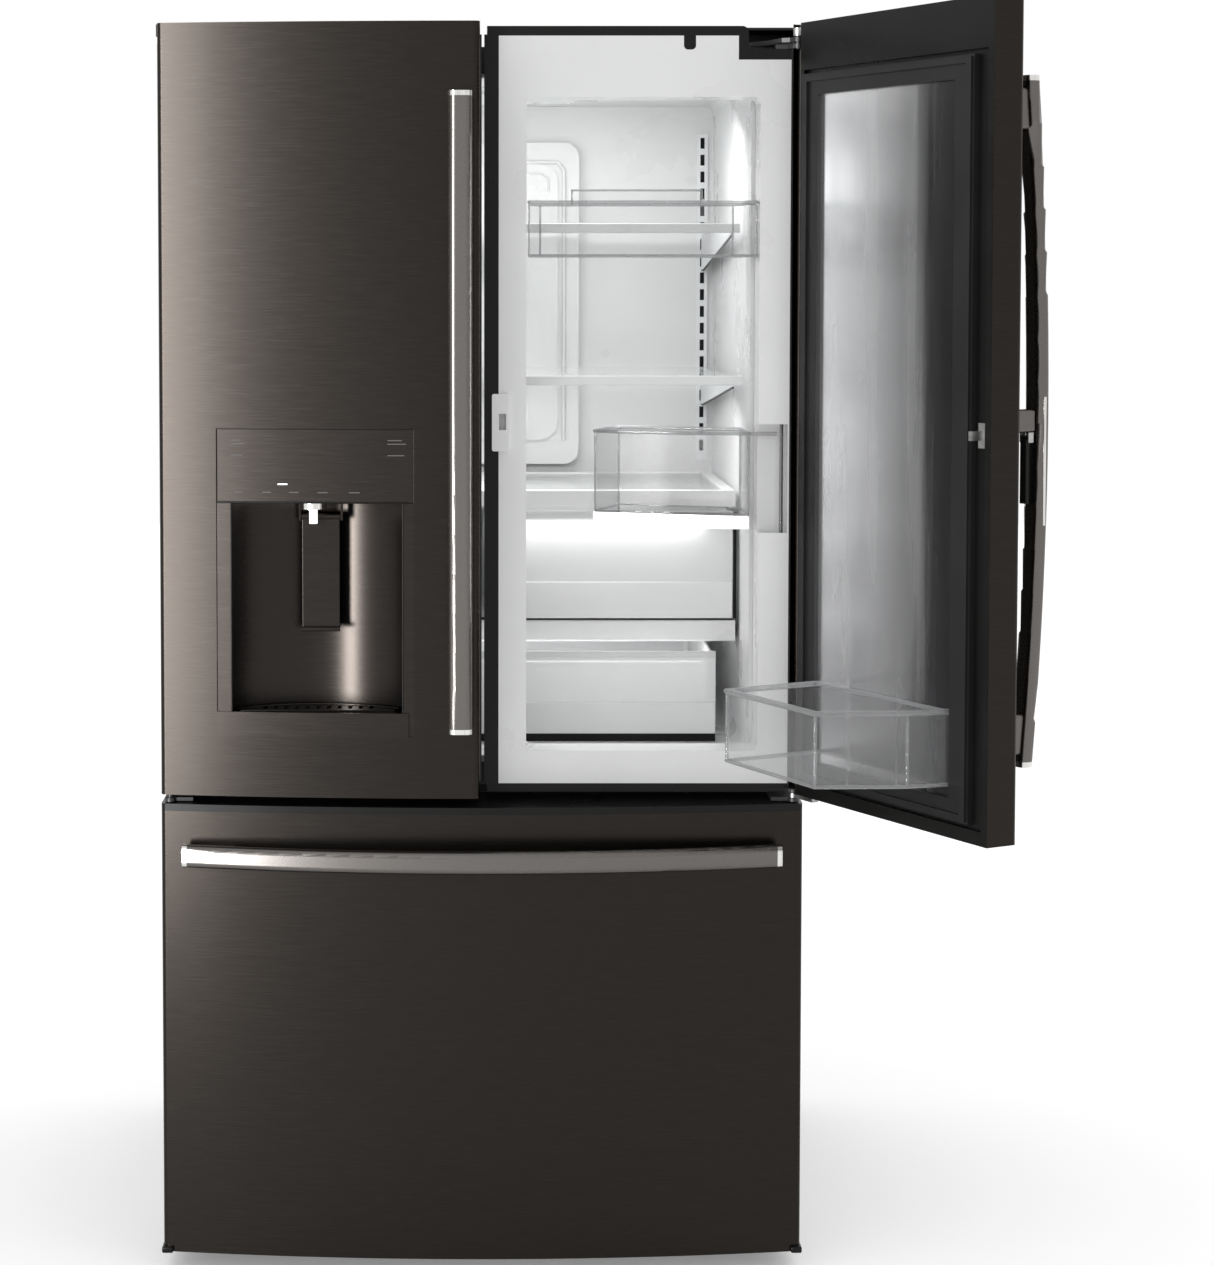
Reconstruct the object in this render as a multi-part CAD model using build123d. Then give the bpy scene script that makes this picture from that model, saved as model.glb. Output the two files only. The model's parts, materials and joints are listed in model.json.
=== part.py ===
from build123d import *
import math
import os

os.makedirs("parts", exist_ok=True)

# Millimetres.  +X is right, +Y is to the rear, +Z is up, and the floor is Z = 0.
# The origin is on the floor, under the centre of the cabinet.

# Cabinet
CAB_HALF = 452.0
CAB_FRONT = -370.0
CAB_BACK = 370.0
CAB_BOTTOM = 28.0
CAB_TOP = 1744.0
SHEET = 1.0
LINER = 3.0
FRESH_HALF = 386.0
FRESH_BACK = 246.0
FRESH_BOTTOM = 725.0
FRESH_TOP = 1700.0
FREEZER_HALF = 385.0
FREEZER_BACK = 130.0
FREEZER_BOTTOM = 100.0
FREEZER_TOP = 640.0
MACHINE_FRONT = 190.0
MACHINE_TOP = 330.0

# Doors: all three fronts share one bowed surface
FRONT_HALF = 454.0
FRONT_END_Y = -462.0
SAGITTA = 34.0
BOW_RADIUS = (FRONT_HALF**2 + SAGITTA**2) / (2 * SAGITTA)
BOW_CENTRE_Y = FRONT_END_Y - SAGITTA + BOW_RADIUS
EDGE_RADIUS = 8.0
DOOR_BACK = -376.0
DOOR_BOTTOM = 685.0
DOOR_TOP = 1769.0
CAP = 6.0
GASKET_Y = CAB_FRONT - 0.3

# Hinges: one vertical axis on each side
HINGE_X = 442.0
HINGE_Y = -450.0
PIN = 4.0
PIN_FIT = 0.05
OPEN_ANGLE = 118.0

# Left door and right inner frame
LEFT_FREE = -3.0
RIGHT_FREE = 7.0
FRAME_HINGE_SIDE = 434.0
FRAME_FRONT = -440.0
FRAME_TOP = 1767.0
STEP_X = 374.0
STEP_Z = 1735.0
WINDOW = (62.6, 391.0, 743.5, 1668.0)
CORNER_CHAMFER = 12.0

# Outer right door
OUTER_BACK = -446.0
OUTER_CORE_END = 430.0

# Swing bin
BIN_PIVOT = (424.0, -431.0)

# Freezer drawer
DRAWER_BOTTOM = 28.0
DRAWER_TOP = 672.0


def save(shape, name):
    export_step(shape, "parts/" + name + ".step")


def block(x0, x1, y0, y1, z0, z1):
    centre = Pos((x0 + x1) / 2, (y0 + y1) / 2, (z0 + z1) / 2)
    return centre * Box(x1 - x0, y1 - y0, z1 - z0)


def rod(start, direction, radius, length):
    plane = Plane(origin=start, z_dir=direction)
    return plane * Cylinder(radius, length, align=(Align.CENTER, Align.CENTER, Align.MIN))


def joined(parts):
    """Fuse pieces that meet, into one shape."""
    total = parts[0]
    for part in parts[1:]:
        total = total + part
    return total


def grouped(parts):
    """Keep separate solids together in one node."""
    solids = []
    for part in parts:
        solids.extend(part.solids())
    return Compound(children=solids)


def mirrored(shape):
    return mirror(shape, about=Plane.YZ)


def upright_edges(shape, keep):
    return [e for e in shape.edges().filter_by(Axis.Z) if keep(e.center())]


def rounded_block(x0, x1, y0, y1, z0, z1, radius, axis=Axis.Z):
    solid = block(x0, x1, y0, y1, z0, z1)
    return fillet(solid.edges().filter_by(axis), radius)


def ring(outer, inner, y0, y1):
    """Flat rectangular ring in the XZ plane, from (x0, x1, z0, z1) boxes."""
    body = block(outer[0], outer[1], y0, y1, outer[2], outer[3])
    hole = block(inner[0], inner[1], y0 - 1, y1 + 1, inner[2], inner[3])
    return body - hole


def open_box(x0, x1, y0, y1, z0, z1, wall, corner):
    """Bin with an open top and rounded upright corners."""
    outer = rounded_block(x0, x1, y0, y1, z0, z1, corner)
    inner = rounded_block(x0 + wall, x1 - wall, y0 + wall, y1 - wall, z0 + wall, z1 + 1,
                          corner - wall)
    return outer - inner


def plan_prism(points, z0, z1):
    face = make_face(Polyline(*points, close=True))
    return extrude(Pos(0, 0, z0) * face, z1 - z0, dir=(0, 0, 1))


def bow_y(x, inset=0.0):
    """Y of the bowed front surface, or of the surface inset behind it."""
    return BOW_CENTRE_Y - math.sqrt((BOW_RADIUS - inset)**2 - x * x)


def bowed(x0, x1, y_back, z0, z1, inset=0.0):
    """Prism with the bowed front and a flat back."""
    mid = (x0 + x1) / 2
    left = (x0, bow_y(x0, inset))
    right = (x1, bow_y(x1, inset))
    arc = ThreePointArc(left, (mid, bow_y(mid, inset)), right)
    rest = Polyline(right, (x1, y_back), (x0, y_back), left)
    face = make_face([arc, rest])
    return extrude(Pos(0, 0, z0) * face, z1 - z0, dir=(0, 0, 1))


def bowed_skin(x0, x1, y_back, z0, z1):
    """Folded sheet: bowed front with two side returns, open at top, bottom and rear."""
    outer = bowed(x0, x1, y_back, z0, z1)
    front = upright_edges(outer, lambda c: c.Y < y_back - 1)
    outer = fillet(front, EDGE_RADIUS)
    inner = bowed(x0 + SHEET, x1 - SHEET, y_back + 1, z0 - 1, z1 + 1, SHEET)
    front = upright_edges(inner, lambda c: c.Y < y_back - 1)
    return outer - fillet(front, EDGE_RADIUS - SHEET)


def bowed_core(x0, x1, y_back, z0, z1):
    """What fills a bowed skin, flush inside it."""
    core = bowed(x0 + SHEET, x1 - SHEET, y_back, z0, z1, SHEET)
    front = upright_edges(core, lambda c: c.Y < y_back - 1)
    return fillet(front, EDGE_RADIUS - SHEET)


def pin_bore(z0, z1, x=HINGE_X):
    return rod((x, HINGE_Y, z0 - 1), (0, 0, 1), PIN + PIN_FIT, z1 - z0 + 2)


def tub(face, z0, z1, wall, floor):
    """Open tub whose outline is a flat face."""
    outer = extrude(Pos(0, 0, z0) * face, z1 - z0, dir=(0, 0, 1))
    inner_face = offset(face, -wall, kind=Kind.INTERSECTION)
    inner = extrude(Pos(0, 0, z0 + floor) * inner_face, z1 - z0, dir=(0, 0, 1))
    return outer - inner


def wall_prism(points, y0, y1):
    """Prism with its outline in the XZ plane."""
    profile = Plane.XZ * make_face(Polyline(*points, close=True))
    return extrude(Pos(0, y0, 0) * profile, y1 - y0, dir=(0, 1, 0))


# ---------------------------------------------------------------- cabinet

def cabinet_shell():
    """Wrapper of two sides and a roof, and the steel face that the door gaskets close on."""
    side = block(CAB_HALF - SHEET, CAB_HALF, CAB_FRONT, CAB_BACK, CAB_BOTTOM, CAB_TOP)
    inner = CAB_HALF - SHEET
    roof = block(-inner, inner, CAB_FRONT, CAB_BACK, CAB_TOP - SHEET, CAB_TOP)
    return grouped([side, mirrored(side), roof, front_flange()])


def base_pan():
    inner = CAB_HALF - SHEET
    return block(-inner, inner, CAB_FRONT, CAB_BACK - SHEET, CAB_BOTTOM, CAB_BOTTOM + 3)


def cabinet_back():
    inner = CAB_HALF - SHEET
    panel = block(-inner, inner, CAB_BACK - SHEET, CAB_BACK, MACHINE_TOP, CAB_TOP - SHEET)
    return panel - rod((340, CAB_BACK - 5, 375), (0, 1, 0), 16.5, 10)


def machine_cover():
    cover = block(-440, 440, CAB_BACK - 3, CAB_BACK, CAB_BOTTOM + 4, MACHINE_TOP - 2)
    for row in range(7):
        for column in range(12):
            x = -385 + column * 70
            z = 90 + row * 30
            slot = block(x - 25, x + 25, CAB_BACK - 4, CAB_BACK + 1, z, z + 8)
            cover = cover - slot
    return cover


def front_flange():
    """Steel stiles and rails that the door gaskets close on."""
    inner = CAB_HALF - SHEET
    y0, y1 = CAB_FRONT, CAB_FRONT + 2
    low, high = CAB_BOTTOM + 3, CAB_TOP - SHEET
    stile = block(FRESH_HALF, inner, y0, y1, low, high)
    pieces = [stile, mirrored(stile)]
    for z0, z1 in ((low, FREEZER_BOTTOM), (FREEZER_TOP, FRESH_BOTTOM), (FRESH_TOP, high)):
        pieces.append(block(-FRESH_HALF, FRESH_HALF, y0, y1, z0, z1))
    return grouped(pieces)


def liner(half, back, bottom, top):
    y0 = CAB_FRONT + 2
    outer = rounded_block(-half - LINER, half + LINER, y0, back + LINER,
                          bottom - LINER, top + LINER, 18, Axis.Y)
    inner = rounded_block(-half, half, y0 - 1, back, bottom, top, 15, Axis.Y)
    return outer - inner


def solid_liner(half, back, bottom, top):
    return rounded_block(-half - LINER, half + LINER, CAB_FRONT + 2, back + LINER,
                         bottom - LINER, top + LINER, 18, Axis.Y)


def insulation():
    inner = CAB_HALF - SHEET
    foam = block(-inner, inner, CAB_FRONT + 2, CAB_BACK - SHEET, CAB_BOTTOM + 3, CAB_TOP - SHEET)
    foam = foam - solid_liner(FRESH_HALF, FRESH_BACK, FRESH_BOTTOM, FRESH_TOP)
    foam = foam - solid_liner(FREEZER_HALF, FREEZER_BACK, FREEZER_BOTTOM, FREEZER_TOP)
    machine = block(-inner - 1, inner + 1, MACHINE_FRONT, CAB_BACK + 1,
                    CAB_BOTTOM, MACHINE_TOP)
    valve_pocket = block(300, 380, 330, CAB_BACK + 1, MACHINE_TOP - 1, 420)
    return foam - machine - valve_pocket


def centre_fascia():
    return block(-398, 398, -380, CAB_FRONT, 674.5, 682.5)


def levelling_feet():
    feet = []
    for x in (-395, 395):
        pad = rod((x, -310, 0), (0, 0, 1), 20, 7)
        stem = rod((x, -310, 7), (0, 0, 1), 5, CAB_BOTTOM - 7)
        feet.append(pad + stem)
    return grouped(feet)


ROLLER_RADIUS = 13.0
ROLLER_HALF = 12.0
ROLLER_X = 380.0
ROLLER_Y = 300.0
AXLE = 3.0


def roller(x):
    wheel = rod((x - ROLLER_HALF, ROLLER_Y, ROLLER_RADIUS), (1, 0, 0), ROLLER_RADIUS,
                2 * ROLLER_HALF)
    wheel = chamfer(wheel.edges().filter_by(GeomType.CIRCLE), 1.5)
    bore = rod((x - ROLLER_HALF - 1, ROLLER_Y, ROLLER_RADIUS), (1, 0, 0), AXLE + PIN_FIT,
               2 * ROLLER_HALF + 2)
    return wheel - bore


def roller_brackets():
    pieces = []
    for x in (-ROLLER_X, ROLLER_X):
        cheeks = []
        for side in (-1, 1):
            inner = x + side * (ROLLER_HALF + 0.5)
            outer = inner + side * 2.5
            cheeks.append(block(min(inner, outer), max(inner, outer), ROLLER_Y - 9,
                                ROLLER_Y + 9, 5, CAB_BOTTOM))
        axle = rod((x - ROLLER_HALF - 2, ROLLER_Y, ROLLER_RADIUS), (1, 0, 0), AXLE,
                   2 * ROLLER_HALF + 4)
        pieces.append(joined(cheeks + [axle]))
    return grouped(pieces)


def upper_hinge(below):
    """Arm on the roof, with the pin that the doors hang on; below is the pin's lower length."""
    outline = [(-7, -1), (-2, 8), (-2, 150), (-70, 150), (-70, 78), (-60, 76), (-38, 50),
               (-22, 9), (-11, 5)]
    arm = plan_prism([(HINGE_X + x, HINGE_Y + y) for x, y in outline], CAB_TOP, CAB_TOP + 6)
    boss = rod((HINGE_X, HINGE_Y, CAB_TOP), (0, 0, 1), 7, 6)
    pin = rod((HINGE_X, HINGE_Y, CAB_TOP - below), (0, 0, 1), PIN, below + 18)
    return joined([arm, boss, pin])


def lower_hinge():
    """Plate on the cabinet face between door and drawer, with its pin standing up."""
    plate = block(HINGE_X - 32, HINGE_X + 8, HINGE_Y, CAB_FRONT, 673.5, 678.5)
    nose = rod((HINGE_X, HINGE_Y, 673.5), (0, 0, 1), 8, 5)
    pin = rod((HINGE_X, HINGE_Y, 678.5), (0, 0, 1), PIN, 12.5)
    leg = block(HINGE_X - 28, HINGE_X + 6, CAB_FRONT - 4, CAB_FRONT, 655, 673.5)
    return joined([plate, nose, pin, leg])


def hinge_cover():
    """Plastic cover over the arm on the roof."""
    outer = rounded_block(352, 450, -366, -286, CAB_TOP, 1772, 8)
    outer = chamfer(outer.faces().sort_by(Axis.Z)[-1].edges(), 3)
    hollow = block(355, 447, -367, -290, CAB_TOP - 1, 1768)
    return outer - hollow


# ------------------------------------------------- cabinet inside and machinery

def air_tower():
    """Air duct cover on the back wall, with a raised contour and outlet slots."""
    tower = rounded_block(-163, 163, FRESH_BACK - 22, FRESH_BACK, 1110, 1640, 25, Axis.Y)
    contour = rounded_block(-128, 128, FRESH_BACK - 26, FRESH_BACK - 22, 1150, 1605, 30, Axis.Y)
    tower = tower + contour
    for row in range(4):
        z = 1230 + row * 100
        tower = tower - block(-105, -45, FRESH_BACK - 27, FRESH_BACK - 18, z, z + 8)
    return tower


# Each ladder: X, and Y of the surface that it is fixed to
LADDERS = ((-368.0, FRESH_BACK), (-20.0, FRESH_BACK - 26), (20.0, FRESH_BACK - 26),
           (368.0, FRESH_BACK))
LADDER_PITCH = 27.8
LADDER_SLOTS = 19


def shelf_ladders():
    strips = []
    for x, wall in LADDERS:
        low, high = (1115, 1655) if wall == FRESH_BACK else (1152, 1600)
        strip = block(x - 9, x + 9, wall - 4, wall, low, high)
        for step in range(LADDER_SLOTS):
            z = 1131 + step * LADDER_PITCH
            strip = strip - block(x - 3.5, x + 3.5, wall - 5, wall + 1, z, z + 18)
        strips.append(strip)
    return grouped(strips)


# Each shelf: inner X, outer X, front Y, top Z
SHELVES = (
    (8.0, 378.0, -290.0, 1494.0),
    (8.0, 378.0, -330.0, 1272.0),
    (-378.0, -8.0, -265.0, 1494.0),
    (-378.0, -8.0, -265.0, 1272.0),
)
SHELF_BACK = 205.0
GLASS = 4.0


def shelf_glass():
    plates = []
    for x0, x1, front, top in SHELVES:
        plates.append(block(x0 + 6, x1 - 6, front + 8, SHELF_BACK - 4, top - GLASS, top))
    return grouped(plates)


def shelf_trims():
    """Moulded front edge of each shelf."""
    trims = []
    for x0, x1, front, top in SHELVES:
        edge = rounded_block(x0, x1, front, front + 8, top - 13, top + 1, 2, Axis.X)
        trims.append(edge)
    return grouped(trims)


def shelf_brackets():
    """Cantilever arm under each end of each shelf, hooked into the ladders."""
    arms = []
    for x0, x1, front, top in SHELVES:
        for x, wall in (LADDERS[:2] if x0 < 0 else LADDERS[2:]):
            root = wall - 4
            side = [(front + 30, top - 5), (root, top - 5), (root, top - 62), (root - 30, top - 62),
                    (front + 30, top - 16)]
            profile = Plane.YZ * make_face(Polyline(*side, close=True))
            arms.append(Pos(x - 1.5, 0, 0) * extrude(profile, 3, dir=(1, 0, 0)))
    return grouped(arms)


def crisper_cover():
    """Frame of the cover over the crispers."""
    frame = block(-380, 380, -222, SHELF_BACK, 1074, 1098)
    opening = block(-362, 362, -200, SHELF_BACK - 16, 1060, 1110)
    centre = block(-12, 12, -201, SHELF_BACK - 15, 1074, 1098)
    return frame - opening + centre


def crisper_glass():
    panes = [block(x0, x1, -200, SHELF_BACK - 16, 1092, 1096)
             for x0, x1 in ((-362, -12), (12, 362))]
    return grouped(panes)


def crisper(x0, x1):
    """Clear drawer with a deeper front wall and a finger pull under its rim."""
    tub = open_box(x0, x1, -222, 190, 912, 1066, 3, 10)
    front = rounded_block(x0 - 2, x1 + 2, -226, -222, 907, 1068, 1.5, Axis.Z)
    return tub + front


def drawer_divider():
    """Shelf between the crispers and the deli drawer."""
    plate = rounded_block(-380, 380, -226, SHELF_BACK, 872, 904, 4, Axis.X)
    under = block(-368, 368, -214, SHELF_BACK - 12, 871, 892)
    return plate - under


def deli_drawer():
    tub = open_box(-345, 345, -258, 190, 742, 858, 3, 12)
    front = rounded_block(-348, 348, -262, -258, 739, 862, 1.5, Axis.Z)
    return tub + front


def ceiling_light():
    lens = rounded_block(-150, 150, -120, 40, FRESH_TOP - 10, FRESH_TOP, 20)
    return fillet(lens.faces().sort_by(Axis.Z)[0].edges(), 6)


def water_filter():
    body = rod((-330, 60, 1650), (0, 1, 0), 30, 180)
    cap = rod((-330, 30, 1650), (0, 1, 0), 34, 30)
    mount = block(-350, -310, 70, 240, 1675, FRESH_TOP)
    return joined([body, cap, mount])


def compressor():
    shell = rod((-250, 285, 62), (0, 0, 1), 68, 150)
    shell = fillet(shell.edges().filter_by(GeomType.CIRCLE), 28)
    plate = block(-335, -165, 215, 355, 50, 56)
    grommets = [rod((x, y, CAB_BOTTOM + 3), (0, 0, 1), 10, 19)
                for x in (-325, -175) for y in (225, 345)]
    saddle = rod((-250, 285, 56), (0, 0, 1), 40, 10)
    return joined([shell, plate, saddle] + grommets)


def condenser():
    """Finned coil block on the machine floor."""
    fins = [block(x, x + 1.5, 235, 345, 35, 200) for x in range(60, 300, 8)]
    tubes = [rod((55, y, z), (1, 0, 0), 4, 250) for y in (262, 318) for z in range(60, 200, 30)]
    return joined([block(58, 302, 235, 345, 31, 35)] + tubes + fins)


FAN_AXIS_Z = 120.0


def condenser_fan():
    blades = [rod((-40, 285, FAN_AXIS_Z), (1, 0, 0), 18, 22)]
    for step in range(5):
        blade = Rot(22, 0, 0) * Box(16, 2.5, 52)
        blade = Pos(-29, 285, FAN_AXIS_Z) * Rot(step * 72, 0, 0) * Pos(0, 0, 42) * blade
        blades.append(blade)
    bore = rod((-41, 285, FAN_AXIS_Z), (1, 0, 0), AXLE + PIN_FIT, 30)
    return joined(blades) - bore


def condenser_fan_shroud():
    """Ring plate and motor with the shaft that the fan turns on."""
    plate = block(-8, -4, 205, 365, 31, 205)
    hole = rod((-9, 285, FAN_AXIS_Z), (1, 0, 0), 74, 8)
    strut = block(-8, -4, 279, 291, 31, FAN_AXIS_Z)
    motor = rod((-12, 285, FAN_AXIS_Z), (1, 0, 0), 22, 40)
    shaft = rod((-42, 285, FAN_AXIS_Z), (1, 0, 0), AXLE, 32)
    return joined([plate - hole, strut, motor, shaft])


def drain_pan():
    return open_box(-130, -60, 205, 350, 31, 50, 2, 8)


def evaporator():
    fins = [block(x, x + 1.5, 92, 124, 160, 330) for x in range(-260, 260, 12)]
    tubes = [rod((-268, 108, z), (1, 0, 0), 5, 536) for z in range(175, 330, 30)]
    ends = [block(x, x + 3, 90, FREEZER_BACK, 155, 335) for x in (-272, 269)]
    return joined(tubes + fins + ends)


def evaporator_cover():
    cover = block(-FREEZER_HALF + 4, FREEZER_HALF - 4, 82, 85, FREEZER_BOTTOM + 4, 620)
    for row in range(3):
        for column in range(9):
            x = -240 + column * 60
            z = 560 + row * 14
            cover = cover - block(x - 22, x + 22, 81, 86, z, z + 6)
    return cover


EVAPORATOR_FAN_Z = 450.0


def evaporator_fan():
    blades = [rod((0, 96, EVAPORATOR_FAN_Z), (0, 1, 0), 14, 14)]
    for step in range(4):
        blade = Rot(0, 0, 24) * Box(2.5, 12, 40)
        blade = Pos(0, 103, EVAPORATOR_FAN_Z) * Rot(0, step * 90, 0) * Pos(0, 0, 32) * blade
        blades.append(blade)
    bore = rod((0, 95, EVAPORATOR_FAN_Z), (0, 1, 0), AXLE + PIN_FIT, 20)
    return joined(blades) - bore


def evaporator_fan_motor():
    motor = rod((0, 112, EVAPORATOR_FAN_Z), (0, 1, 0), 20, FREEZER_BACK - 112)
    shaft = rod((0, 94, EVAPORATOR_FAN_Z), (0, 1, 0), AXLE, 18)
    return motor + shaft


def control_box():
    return rounded_block(120, 260, 320, 364, 215, 320, 5, Axis.Y)


def water_inlet():
    """Valve with the threaded fitting at the rear, in its own pocket."""
    body = rounded_block(315, 365, 332, CAB_BACK - SHEET, 350, 400, 4, Axis.Y)
    flange = rod((340, CAB_BACK - SHEET, 375), (0, 1, 0), 16, 3)
    fitting = rod((340, CAB_BACK + 2, 375), (0, 1, 0), 13, 16)
    bore = rod((340, CAB_BACK, 375), (0, 1, 0), 6, 30)
    return body + flange + fitting - bore


def cord_gland():
    body = rod((-380, CAB_BACK, 290), (0, 1, 0), 11, 8)
    bore = rod((-380, CAB_BACK - 1, 290), (0, 1, 0), 5, 12)
    return body - bore


SLIDE_Z = 330.0


def fixed_slides():
    rails = []
    for side in (-1, 1):
        outer = side * FREEZER_HALF
        inner = side * (FREEZER_HALF - 5)
        rails.append(block(min(outer, inner), max(outer, inner), -360, 70, SLIDE_Z, SLIDE_Z + 40))
    return grouped(rails)


# ---------------------------------------------------------------- left door

DISPENSER = (-373.0, -95.0, 772.0, 1204.0)
PANEL_BOTTOM = 1100.0
CAVITY = (-352.0, -111.0, 803.0)
CAVITY_BACK = -411.0
HOUSING_BACK = -400.0


def left_chamfer():
    """Corner cut from the free rear edge so that the door swings past its neighbour."""
    points = [(LEFT_FREE - CORNER_CHAMFER, DOOR_BACK), (LEFT_FREE + 1, DOOR_BACK - 1 -
              CORNER_CHAMFER), (LEFT_FREE + 1, DOOR_BACK)]
    return plan_prism(points, DOOR_BOTTOM - 1, DOOR_TOP + 1)


def left_notch():
    """Room for the roof hinge arm behind the skin."""
    return block(-FRONT_HALF + SHEET, -378, HINGE_Y - 9, DOOR_BACK + 1, STEP_Z, DOOR_TOP + 1)


def left_door_skin():
    skin = bowed_skin(-FRONT_HALF, LEFT_FREE, -390, DOOR_BOTTOM, DOOR_TOP)
    x0, x1, z0, z1 = DISPENSER
    skin = skin - block(x0, x1, -520, -440, z0, z1)
    skin = skin - block(-FRONT_HALF - 1, -440, HINGE_Y + 8, -380, CAB_TOP - 2, DOOR_TOP + 1)
    return skin - block(-FRONT_HALF - 1, -440, HINGE_Y - 8, -380, CAB_TOP - 3, CAB_TOP + 8)


def left_door_core():
    core = bowed_core(-FRONT_HALF, LEFT_FREE, DOOR_BACK - 3, DOOR_BOTTOM + CAP, DOOR_TOP - CAP)
    x0, x1, z0, z1 = DISPENSER
    core = core - block(x0, x1, -520, HOUSING_BACK, z0, z1)
    return core - left_notch() - left_chamfer()


def left_door_liner():
    """Inner face of the door with the raised dike that its bins clip into."""
    plate = block(-FRONT_HALF + SHEET, LEFT_FREE - SHEET, DOOR_BACK - 3, DOOR_BACK,
                  DOOR_BOTTOM + CAP, DOOR_TOP - CAP)
    dike = ring((-378, -52, 732, 1692), (-368, -62, 742, 1682), DOOR_BACK, -345)
    return plate + dike - left_notch() - left_chamfer()


def left_door_cap(z0):
    cap = bowed_core(-FRONT_HALF, LEFT_FREE, DOOR_BACK, z0, z0 + CAP)
    return cap - left_chamfer()


def left_hinge_block():
    """Knuckle and cover over the left door's upper pin."""
    x0 = -FRONT_HALF - 3
    shape = rounded_block(x0, -379, HINGE_Y - 8, -384, CAB_TOP + 8, DOOR_TOP, 6)
    keep = block(-FRONT_HALF + SHEET, -378, HINGE_Y - 9, -380, CAB_TOP, DOOR_TOP + 1)
    outside = block(x0 - 1, -FRONT_HALF + SHEET, HINGE_Y + 8.5, -380, CAB_TOP, DOOR_TOP + 1)
    shape = shape & (keep + outside)
    bore = rod((-HINGE_X, HINGE_Y, CAB_TOP), (0, 0, 1), PIN + PIN_FIT, 19)
    return shape - bore


def left_door_gasket():
    return ring((-428, -15.5, 694, 1730), (-402, -46, 718, 1706), DOOR_BACK, GASKET_Y)


FLAP_AXIS = (-38.0, -362.0)


def centre_flap():
    """Folding bar behind the gap between the doors."""
    bar = rounded_block(-42, -10, -369, -356, 748, 1686, 1.5)
    bore = rod((FLAP_AXIS[0], FLAP_AXIS[1], 740), (0, 0, 1), 2.5 + PIN_FIT, 960)
    return bar - bore


def flap_brackets():
    """Ears on the dike with the rod that the flap turns on."""
    pieces = [rod((FLAP_AXIS[0], FLAP_AXIS[1], 738), (0, 0, 1), 2.5, 958)]
    for z in (738, 1690):
        pieces.append(block(-52, FLAP_AXIS[0] + 3, -366, -358, z, z + 6))
    return joined(pieces)


def edge_seal(x0, x1):
    """Soft black fin that darkens the gap between the doors."""
    return block(x0, x1, -441, -439, 700, 1755)


def dispenser_panel():
    x0, x1, _, z1 = DISPENSER
    plate = bowed(x0, x1, HOUSING_BACK, PANEL_BOTTOM, z1, 2.0)
    return chamfer(plate.faces().sort_by(Axis.Y)[0].edges(), 0.8)


def dispenser_housing():
    """Surround with the curved cavity that a glass stands in."""
    x0, x1, z0, _ = DISPENSER
    body = bowed(x0, x1, HOUSING_BACK, z0, PANEL_BOTTOM, 2.0)
    left, right, floor = CAVITY
    middle = (left + right) / 2
    back = ThreePointArc((left, -462), (middle, CAVITY_BACK), (right, -462))
    front = Polyline((right, -462), (right, -520), (left, -520), (left, -462))
    face = make_face([back, front])
    return body - extrude(Pos(0, 0, floor) * face, 400, dir=(0, 0, 1))


def dispenser_tray():
    """Slotted drip tray on the cavity floor."""
    left, right, floor = CAVITY
    middle = (left + right) / 2
    back = ThreePointArc((left + 12, -464), (middle, CAVITY_BACK + 2 - 8), (right - 12, -464))
    front = Polyline((right - 12, -464), (right - 12, -474), (left + 12, -474), (left + 12, -464))
    tray = extrude(Pos(0, 0, floor) * make_face([back, front]), 4, dir=(0, 0, 1))
    for step in range(11):
        x = middle - 75 + step * 15
        tray = tray - block(x - 3, x + 3, -462, -434, floor - 1, floor + 5)
    return tray


NOZZLE = (-237.5, -458.0)
PADDLE_AXIS = (-436.0, 1078.0)


def dispenser_nozzle():
    """Round surround and outlet tube under the control panel."""
    x, y = NOZZLE
    surround = rod((x, y, PANEL_BOTTOM - 8), (0, 0, 1), 17, 8)
    tube = rod((x, y, PANEL_BOTTOM - 30), (0, 0, 1), 5, 24)
    bore = rod((x, y, PANEL_BOTTOM - 31), (0, 0, 1), 3, 20)
    return surround + tube - bore


def dispenser_paddle():
    y, z = PADDLE_AXIS
    blade = rounded_block(-255, -201, y - 4, y, 915, z + 2, 1.5, Axis.Z)
    knuckle = rod((-255, y, z), (1, 0, 0), 6, 54)
    bore = rod((-256, y, z), (1, 0, 0), 3 + PIN_FIT, 56)
    lip = rounded_block(-255, -201, y - 12, y - 3, 915, 921, 2, Axis.X)
    return joined([blade, knuckle, lip]) - bore


def dispenser_pin():
    """Cross pin and hangers that carry the paddle."""
    y, z = PADDLE_AXIS
    hangers = [block(x, x + 3, y - 6, y + 6, z - 6, PANEL_BOTTOM) for x in (-259, -200)]
    return joined(hangers + [rod((-257, y, z), (1, 0, 0), 3, 58)])


def ice_compartment():
    """Insulated ice maker housing on the inside of the door, with its own hatch."""
    box = rounded_block(-364, -66, DOOR_BACK, -288, 1215, 1650, 14, Axis.Y)
    hatch = rounded_block(-350, -80, -288, -284, 1230, 1560, 10, Axis.Y)
    latch = rounded_block(-100, -88, -284, -278, 1380, 1430, 2, Axis.Y)
    return joined([box, hatch, latch])


def left_door_bin(z0, z1):
    face = make_face(Polyline((-366, DOOR_BACK), (-64, DOOR_BACK), (-64, -310), (-84, -290),
                              (-346, -290), (-366, -310), close=True))
    return tub(face, z0, z1, 3, 3)


# Bar handles: a bowed bar on two posts, with bright end caps
BAR_WIDTH = 32.0
BAR_DEPTH = 20.0
BAR_END = 36.0
BAR_MIDDLE = 57.0
BAR_CAP = 7.0
DOOR_BAR = (781.0, 1671.0)
HANDLE_INSET = 27.0


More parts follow.
